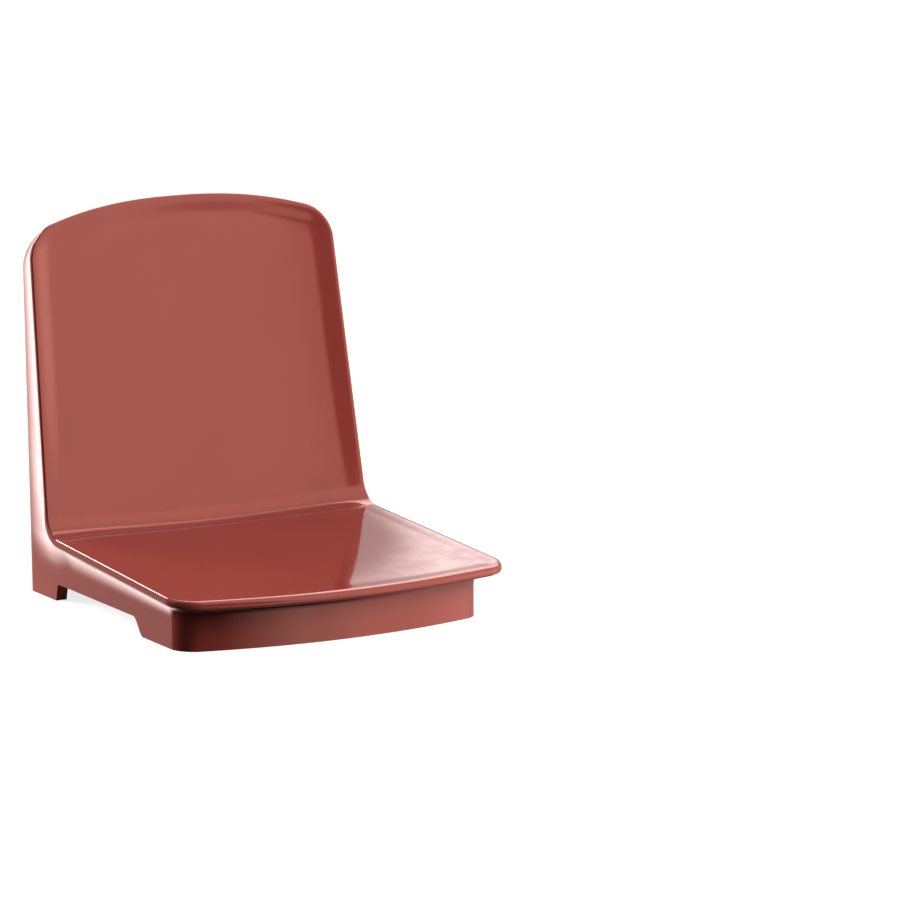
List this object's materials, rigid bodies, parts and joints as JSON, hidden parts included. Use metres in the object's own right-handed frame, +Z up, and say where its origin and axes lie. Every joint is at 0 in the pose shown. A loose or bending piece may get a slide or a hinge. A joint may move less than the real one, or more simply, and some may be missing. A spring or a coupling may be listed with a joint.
{
  "type": "stadium seat",
  "caption": "Low-back stadium seat: a glossy moulded pan and back in one shell on a hollow footed body, bolted down through threaded inserts.",
  "frame": {"origin": "middle of the seat's footprint, on the floor that the feet stand on", "axes": "+X along the row of seats, to the sitter's left; -Y is the way the sitter faces; +Z up"},
  "size_m": [0.4354, 0.479, 0.4638],
  "materials": {
    "red_plastic": "high gloss, moulded in colour",
    "zinc_steel": "zinc plated, satin",
    "brass": "machined, satin"
  },
  "bodies": {
    "root": {"seat_shell": "red_plastic", "body_shell": "red_plastic", "pan_screw_1": "zinc_steel", "pan_screw_2": "zinc_steel", "pan_screw_3": "zinc_steel", "pan_screw_4": "zinc_steel", "back_screw_1": "zinc_steel", "back_screw_2": "zinc_steel", "back_screw_3": "zinc_steel", "back_screw_4": "zinc_steel", "cover_plug_1": "red_plastic", "cover_plug_2": "red_plastic", "cover_plug_3": "red_plastic", "cover_plug_4": "red_plastic", "threaded_insert_1": "brass", "threaded_insert_2": "brass", "threaded_insert_3": "brass", "threaded_insert_4": "brass"}
  },
  "joints": []
}
